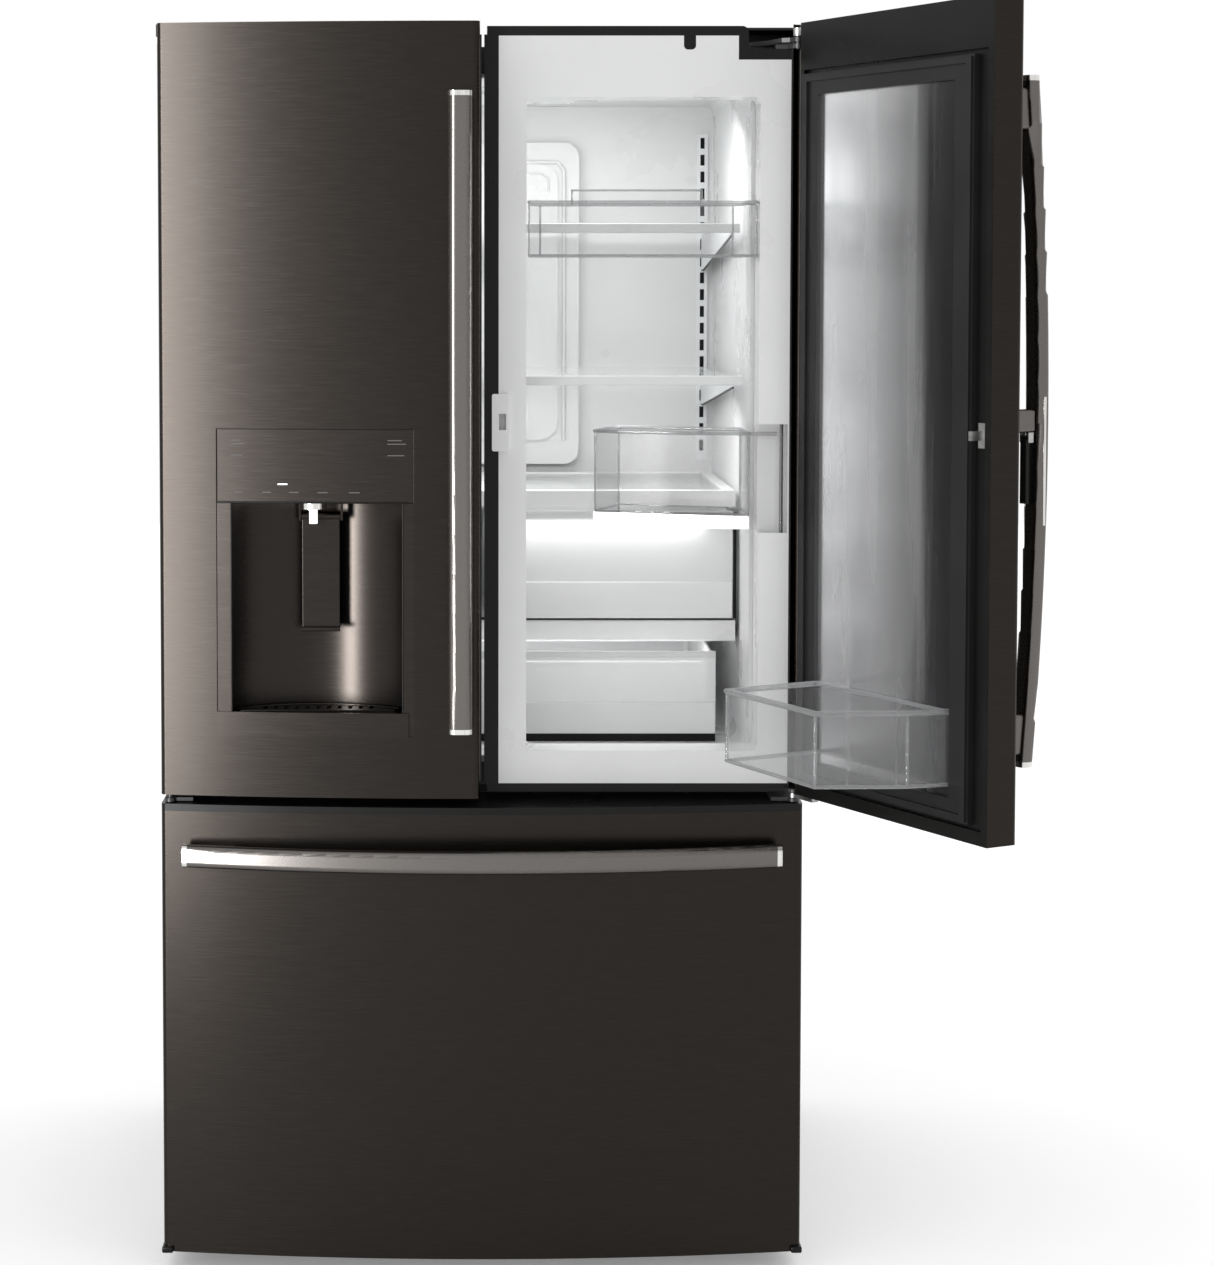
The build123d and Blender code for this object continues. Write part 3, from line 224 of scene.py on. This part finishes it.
MATERIALS = make_materials()
GLOW = glowing("lamp_and_painted_glow", (1.0, 1.0, 1.0), 1.2)
MARK = moulded("panel_marks", (0.075, 0.072, 0.068), (0.09, 0.086, 0.082), 0.5)
RIM = clear("clear_rim", (0.36, 0.365, 0.37), 0.03, 1.5, 0.42, 0.95)
BAND = brushed("bin_band", (0.36, 0.36, 0.365), (0.44, 0.44, 0.445), 0.3, ALONG_X, 0.03, 500.0,
               0.01)
FROST = clear("frosted_front", (0.8, 0.803, 0.806), 0.12, 1.45, 0.72, 0.85)
SLOT_OF = {row["node"]: row["material_slot"] for row in frame["record"]["subparts"]}


def paint_nodes():
    """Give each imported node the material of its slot, and the drawers their frosted fronts."""
    for name, node in NODES.items():
        node.data.materials.clear()
        node.data.materials.append(MATERIALS[SLOT_OF[name]])
    NODES["crisper_drawers"].data.materials[0] = FROST


# ---------------------------------------------------------------- pieces

# Lengths of the pieces are in millimetres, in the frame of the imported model.
# The outer right door is laid out closed, then turned to rest about its hinge.
HINGE = Vector((442.0, -450.0, 0.0))
OPEN_ANGLE = math.radians(118.0)
OPENED = (Matrix.Translation(HINGE) @ Matrix.Rotation(OPEN_ANGLE, 4, "Z")
          @ Matrix.Translation(-HINGE))
# Doors and drawer share one bowed front: its half width, the depth of its bow and its middle.
FRONT_HALF = 454.0
SAGITTA = 34.0
FRONT_MIDDLE = -496.0
BOW_RADIUS = (FRONT_HALF**2 + SAGITTA**2) / (2 * SAGITTA)
SMOOTH_ANGLE = math.radians(40)


def bow_y(x):
    """Y of the bowed fronts at this X, in millimetres."""
    return FRONT_MIDDLE + BOW_RADIUS - math.sqrt(BOW_RADIUS**2 - x * x)


def add_piece(name, bm, body, slot, material=None, turn=None):
    """Turn a bmesh in millimetres into a piece that rides on a body."""
    if turn:
        bm.transform(turn)
    bm.transform(Matrix.Scale(MM, 4))
    bmesh.ops.recalc_face_normals(bm, faces=bm.faces)
    mesh = bpy.data.meshes.new(name)
    bm.to_mesh(mesh)
    bm.free()
    piece = bpy.data.objects.new(name, mesh)
    bpy.context.scene.collection.objects.link(piece)
    mesh.materials.append(material or MATERIALS[slot])
    mesh.shade_smooth()
    mesh.set_sharp_from_angle(angle=SMOOTH_ANGLE)
    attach(piece, body)


def merge(bm, part):
    """Move one bmesh into another."""
    mesh = bpy.data.meshes.new("part")
    part.to_mesh(mesh)
    part.free()
    bm.from_mesh(mesh)
    bpy.data.meshes.remove(mesh)


def add_box(bm, x0, x1, y0, y1, z0, z1, bevel=0.0):
    """Box between two values on each axis, with rounded edges where a bevel is given."""
    part = bmesh.new()
    centre = ((x0 + x1) / 2, (y0 + y1) / 2, (z0 + z1) / 2)
    matrix = Matrix.Translation(centre) @ Matrix.Diagonal((x1 - x0, y1 - y0, z1 - z0, 1.0))
    bmesh.ops.create_cube(part, size=1.0, matrix=matrix)
    if bevel:
        bmesh.ops.bevel(part, geom=part.edges[:], offset=bevel, segments=3, profile=0.6,
                        affect="EDGES", clamp_overlap=True)
    merge(bm, part)


def add_tube(bm, path, radius, closed=False, sides=10):
    """Round rod along a level or upright path, with mitred corners."""
    points = [Vector(p) for p in path]
    count = len(points)
    rings = []
    for i, point in enumerate(points):
        before = points[i - 1] if closed or i else point
        after = points[(i + 1) % count] if closed or i < count - 1 else point
        back = (point - before).normalized()
        ahead = (after - point).normalized()
        along = (back + ahead).normalized()
        stretch = 1.0 / max(0.5, along.dot(ahead if ahead.length else back))
        helper = Vector((0, 0, 1)) if abs(along.z) < 0.9 else Vector((1, 0, 0))
        side = along.cross(helper).normalized()
        up = side.cross(along)
        ring = []
        for k in range(sides):
            angle = 2 * math.pi * k / sides
            offset = side * math.cos(angle) * stretch + up * math.sin(angle)
            ring.append(bm.verts.new(point + offset * radius))
        rings.append(ring)
    last = count if closed else count - 1
    for i in range(last):
        first, second = rings[i], rings[(i + 1) % count]
        for k in range(sides):
            n = (k + 1) % sides
            bm.faces.new((first[k], first[n], second[n], second[k]))
    if not closed:
        bm.faces.new(rings[0])
        bm.faces.new(rings[-1])


def arc_through(a, b, c, count):
    """Points on the circle through three points of a plan."""
    ax, ay = a
    bx, by = b
    cx, cy = c
    d = 2 * (ax * (by - cy) + bx * (cy - ay) + cx * (ay - by))
    a2, b2, c2 = ax * ax + ay * ay, bx * bx + by * by, cx * cx + cy * cy
    ox = (a2 * (by - cy) + b2 * (cy - ay) + c2 * (ay - by)) / d
    oy = (a2 * (cx - bx) + b2 * (ax - cx) + c2 * (bx - ax)) / d
    radius = math.hypot(ax - ox, ay - oy)
    start = math.atan2(ay - oy, ax - ox)
    end = math.atan2(cy - oy, cx - ox)
    angles = [start + (end - start) * i / (count - 1) for i in range(count)]
    return [(ox + radius * math.cos(t), oy + radius * math.sin(t)) for t in angles]


def add_band(bm, plan, z0, z1, thick):
    """Upright strip along a plan path, thick to the right of its direction."""
    rows = []
    for i, (x, y) in enumerate(plan):
        x0, y0 = plan[max(0, i - 1)]
        x1, y1 = plan[min(len(plan) - 1, i + 1)]
        length = math.hypot(x1 - x0, y1 - y0)
        nx, ny = (y1 - y0) / length * thick, -(x1 - x0) / length * thick
        rows.append([bm.verts.new(v) for v in ((x, y, z0), (x + nx, y + ny, z0),
                                               (x + nx, y + ny, z1), (x, y, z1))])
    for first, second in zip(rows, rows[1:]):
        for k in range(4):
            n = (k + 1) % 4
            bm.faces.new((first[k], first[n], second[n], second[k]))
    bm.faces.new(rows[0])
    bm.faces.new(rows[-1])


ARC_STEPS = 25


def at_height(plan, z):
    """A plan path as points at one height."""
    return [(x, y, z) for x, y in plan]


def add_posts(bm, plan, z0, z1, radius):
    """Upright rod at each point of a plan."""
    for x, y in plan:
        add_tube(bm, [(x, y, z0), (x, y, z1)], radius)


def swing_bin_details():
    """Rounded rim and corners of the turning bin, and the metal band along its foot."""
    base_z, foot_z, rim_z = 1060, 1079, 1194
    corners = [(164, -351), (204, -239.5), (378, -307), (378, -425.5)]
    front = arc_through(corners[3], (291, -401), corners[0], ARC_STEPS)
    outline = front + corners[1:3]
    arm = [(378, -424), (418, -430)]
    rim = bmesh.new()
    add_tube(rim, at_height(outline, rim_z), 3.0, closed=True)
    add_tube(rim, at_height(arm, rim_z), 3.0)
    add_tube(rim, at_height(outline, foot_z), 1.6, closed=True)
    add_posts(rim, corners, base_z, rim_z - 1, 1.8)
    add_piece("swing_bin_rim", rim, "turning_bin", "clear_plastic", RIM)
    band = bmesh.new()
    face = arc_through((379.5, -427.5), (291, -403), (162, -353), ARC_STEPS)
    add_band(band, face[::-1], base_z - 2, foot_z - 2, 1.2)
    add_piece("swing_bin_band", band, "turning_bin", "bright_metal", BAND)


def top_bin_details():
    """Rims, raised back and corners of the inner door's top bin."""
    base_z, rim_z, back_z = 1446, 1521, 1542
    front_y, back_y = -435, -313.5
    corners = [(66, front_y), (387.5, front_y), (365, back_y), (85, back_y)]
    plan = corners[:2] + [(387.5, -379), (378.5, -370), (378.5, -331)] + corners[2:]
    plan.append((69.5, -331))
    rims = bmesh.new()
    add_tube(rims, at_height(plan, rim_z), 2.4, closed=True)
    add_tube(rims, [(131, back_y, rim_z), (131, back_y, back_z), (319, back_y, back_z),
                    (319, back_y, rim_z)], 2.4)
    add_tube(rims, at_height(plan, base_z), 2.0, closed=True)
    add_posts(rims, corners, base_z, rim_z - 1, 1.6)
    add_piece("frame_top_bin_rims", rims, "inner_door", "clear_plastic", RIM)


def outer_bin_details():
    """Rim and corners of the outer door's bin, laid out with the door closed."""
    base_z, rim_z = 753, 849
    plan = [(383, -450), (380.8, -296.5), (158.5, -286), (105.5, -394), (93.5, -450)]
    front = [(380.5, -448), (95, -448)]
    rims = bmesh.new()
    add_tube(rims, at_height(plan, rim_z), 4.0)
    add_tube(rims, at_height(plan, base_z), 2.6)
    add_tube(rims, at_height(front, rim_z), 3.2)
    add_posts(rims, plan[1:4], base_z, rim_z - 1, 2.4)
    add_piece("outer_bin_rims", rims, "outer_door", "clear_plastic", RIM, OPENED)


def add_front(bands, rims, left, right, face_y, band_z, rim_z):
    """Opaque band low on a drawer's front, and a clear rim along its top."""
    add_box(bands, left, right, face_y - 3, face_y, *band_z, 1.2)
    add_box(rims, left, right, face_y - 5, face_y, *rim_z, 1.8)


def crisper_details():
    """Fronts of the two crispers and of the full-width drawer under them."""
    bands = bmesh.new()
    rims = bmesh.new()
    for left, right in ((-375, -5), (5, 375)):
        add_front(bands, rims, left, right, -226, (908, 962), (1058, 1067))
    add_front(bands, rims, -347, 347, -262, (740, 786), (853, 861))
    add_piece("crisper_bands", bands, "cabinet", "white_plastic")
    add_piece("crisper_rims", rims, "cabinet", "clear_plastic")


LADDER_X = 368
LADDER_START = 1131
LADDER_PITCH = 27.8
LADDER_SLOT = 18


def ladder_details():
    """Painted shade: dark boxes where the slots of the shelf ladders are, and the edge of the arms
    hooked into them.
    """
    slot_shades = bmesh.new()
    for x, wall_y, first, last in ((-LADDER_X, 245.9, 0, 19), (LADDER_X, 245.9, 0, 19),
                                   (-20, 219.9, 1, 17), (20, 219.9, 1, 17)):
        for step in range(first, last):
            z = LADDER_START + step * LADDER_PITCH
            # painted shade: a thin dark box on the wall stands in for the shade inside each slot
            add_box(slot_shades, x - 3.5, x + 3.5, wall_y - 1.6, wall_y, z, z + LADDER_SLOT)
    add_piece("ladder_slot_shades", slot_shades, "cabinet", "black_plastic")
    arms = bmesh.new()
    for front_y, top_z in ((-290, 1494), (-330, 1272)):
        for x in (-LADDER_X, LADDER_X):
            add_tube(arms, [(x, front_y + 32, top_z - 17), (x, 212, top_z - 63),
                            (x, 240, top_z - 63)], 1.8)
    add_piece("bracket_edges", arms, "cabinet", "machine_steel")


def opening_lip():
    """White lip round the fresh-food opening."""
    inner_x, outer_x, bottom, top = 386, 401, 716, 1705
    lip_y = (-371.2, -370.05)
    lip = bmesh.new()
    for side in (-1, 1):
        left, right = sorted((side * inner_x, side * outer_x))
        add_box(lip, left, right, *lip_y, bottom, top)
    add_box(lip, -inner_x, inner_x, *lip_y, top - 5, top)
    add_box(lip, -inner_x, inner_x, *lip_y, bottom, bottom + 9)
    add_piece("opening_lip", lip, "cabinet", "white_plastic")


def drawer_gap_shadows():
    """Painted shadow: dark strips in the gaps under the drawer fronts and beside the right
    crisper.
    """
    gap_shadow_strips = bmesh.new()
    # painted shadow: black strips stand in for the shade in the gaps under and beside the drawer
    # fronts
    add_box(gap_shadow_strips, -376, 376, -223.5, -221.5, 904.2, 908)
    add_box(gap_shadow_strips, -348, 348, -259, -257, 727, 740)
    add_box(gap_shadow_strips, 377, 382, -221, -219, 906, 1066)
    add_piece("drawer_gap_shadows", gap_shadow_strips, "cabinet", "black_plastic")


def tower_contour():
    """Two raised lines that round the air tower's top right corner."""
    face_y, line_y = 220.6, 219.4
    contour = bmesh.new()
    add_tube(contour, [(138, face_y, 1150), (138, face_y, 1595), (128, face_y, 1608),
                       (30, face_y, 1608)], 3.0)
    add_tube(contour, [(112, line_y, 1560), (112, line_y, 1582), (100, line_y, 1590),
                       (34, line_y, 1590)], 2.0)
    add_piece("air_tower_contour", contour, "cabinet", "white_plastic")


PANEL_X = (-373, -95)
PANEL_Z = (1100.5, 1204)
CAVITY_X = (-352, -111)
OUTLET = (-237.5, -458)


def panel_marks():
    """Generic marks on the control panel, and the lit dash."""
    marks = bmesh.new()
    for start in (-352, -132):
        for z, width in ((1187, 20), (1182, 28), (1166, 24)):
            y = bow_y(start + width / 2) + 1.6
            add_box(marks, start, start + width, y, y + 0.6, z, z + 1.4)
    for x in (-340, -300, -262, -222, -178):
        y = bow_y(x) + 1.6
        add_box(marks, x - 8, x + 8, y, y + 0.6, 1114, 1115.4)
    add_piece("dispenser_marks", marks, "left_door", "dispenser_dark", MARK)
    dash = bmesh.new()
    y = bow_y(-278) + 1.5
    add_box(dash, -286, -270, y, y + 0.8, 1125.2, 1127)
    add_piece("dispenser_dash", dash, "left_door", "white_plastic", GLOW)


def dispenser_outlet():
    """Outlet tube with a painted glow, in its bright collar."""
    outlet = bmesh.new()
    add_tube(outlet, [(*OUTLET, 1099), (*OUTLET, 1069)], 5.8, sides=24)
    # the outlet tube is no lamp: its emission is a painted glow
    add_piece("dispenser_outlet", outlet, "left_door", "white_plastic", GLOW)
    collar = bmesh.new()
    add_tube(collar, [(*OUTLET, 1099.5), (*OUTLET, 1090)], 18.5, sides=32)
    add_piece("dispenser_collar", collar, "left_door", "bright_metal")


def panel_row(inset):
    """Plan points along the control panel's width, this far behind the bowed front."""
    return [(x, bow_y(x) + inset) for x in range(PANEL_X[0], PANEL_X[1] + 1, 9)]


def dispenser_edges():
    """Dark outline of panel and cavity, the lip under the cavity and the rim of the tray."""
    edge = bmesh.new()
    for z in PANEL_Z:
        add_tube(edge, at_height(panel_row(1.4), z), 1.3)
    add_posts(edge, [(x, bow_y(x) + 1.4) for x in PANEL_X], *PANEL_Z, 1.3)
    add_posts(edge, [(x, bow_y(x) + 2.2) for x in CAVITY_X], 803, 1100, 1.1)
    add_piece("dispenser_edges", edge, "left_door", "black_plastic")
    lip = bmesh.new()
    add_band(lip, panel_row(2.5), 772, 805, 4.0)
    add_piece("dispenser_lip", lip, "left_door", "dispenser_dark")
    rim = bmesh.new()
    arc = arc_through((-346, -464), (-231.5, -419), (-117, -464), ARC_STEPS)
    add_tube(rim, at_height(arc, 807.5), 1.5)
    add_piece("dispenser_tray_rim", rim, "left_door", "dispenser_dark")


def drawer_details():
    """Flared cap at each lower corner of the freezer drawer."""
    caps = bmesh.new()
    for x in (-448, 448):
        add_box(caps, x - 8, x + 8, -470, -440, 27, 36, 3)
    add_piece("drawer_corner_caps", caps, "drawer", "black_plastic")


def add_details():
    """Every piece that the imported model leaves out."""
    swing_bin_details()
    top_bin_details()
    outer_bin_details()
    crisper_details()
    ladder_details()
    opening_lip()
    drawer_gap_shadows()
    tower_contour()
    panel_marks()
    dispenser_outlet()
    dispenser_edges()
    drawer_details()


def set_camera():
    """Camera in front at eye height, tilted slightly down, with the frame shifted sideways."""
    data = bpy.data.cameras.new("camera")
    camera = bpy.data.objects.new("camera", data)
    bpy.context.scene.collection.objects.link(camera)
    data.lens = 77.260
    data.sensor_width = 36.0
    data.shift_x = 0.10838
    data.shift_y = -0.155
    data.clip_end = 60.0
    pitch_down = 0.05315
    camera.location = (-0.0171, -4.2696, 1.3946)
    camera.rotation_euler = (math.pi / 2 - pitch_down, 0.0, 0.0)
    data.dof.use_dof = False
    bpy.context.scene.camera = camera


def area_light(name, place, target, size, power, hidden=False):
    """Lamp aimed at a target; a hidden one isn't seen in reflections."""
    data = bpy.data.lights.new(name, "AREA")
    data.shape = "RECTANGLE"
    data.size, data.size_y = size
    data.energy = power
    light = bpy.data.objects.new(name, data)
    bpy.context.scene.collection.objects.link(light)
    light.location = place
    aim = Vector(target) - Vector(place)
    light.rotation_euler = aim.to_track_quat("-Z", "Y").to_euler()
    light.visible_camera = False
    light.visible_glossy = not hidden
    return light


def set_lights():
    """White studio, a tall strip light on the left, and lamps in the fresh-food space."""
    world = bpy.data.worlds.new("studio")
    bpy.context.scene.world = world
    world.use_nodes = True
    background = world.node_tree.nodes["Background"]
    background.inputs["Color"].default_value = (1.0, 1.0, 1.0, 1.0)
    background.inputs["Strength"].default_value = 1.0
    strip = area_light("strip_left", (-1.8, -2.9, 1.38), (-0.45, -0.46, 1.38), (0.55, 2.7), 220)
    strip.visible_diffuse = False
    low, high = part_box("fresh_liner")
    middle = (low + high) / 2
    front = low.y + 0.05
    for name, z, power in (("glow_top", high.z - 0.05, 3.9), ("glow_shelf", 1.23, 1.5),
                           ("glow_crisper", 1.06, 0.9), ("glow_deli", 0.86, 1.6)):
        area_light(name, (middle.x, front + 0.12, z), (middle.x, middle.y, z - 0.6), (0.66, 0.12),
                   power, hidden=True)


def set_floor():
    """Plain pale floor that fades into the white studio."""
    bm = bmesh.new()
    bmesh.ops.create_grid(bm, x_segments=1, y_segments=1, size=12.0)
    mesh = bpy.data.meshes.new("floor")
    bm.to_mesh(mesh)
    bm.free()
    floor = bpy.data.objects.new("floor", mesh)
    bpy.context.scene.collection.objects.link(floor)
    pale = Shader("floor_pale", (0.95, 0.95, 0.95), 0.8, Emission_Strength=0.2,
                  Specular_IOR_Level=0.1)
    pale.set("Emission Color", (1.0, 1.0, 1.0, 1.0))
    pale.bump(pale.noise(40.0), 0.02, 0.0005)
    mesh.materials.append(pale.material)


bpy.context.scene.view_settings.view_transform = "Standard"
set_camera()
set_lights()
set_floor()
paint_nodes()
add_details()
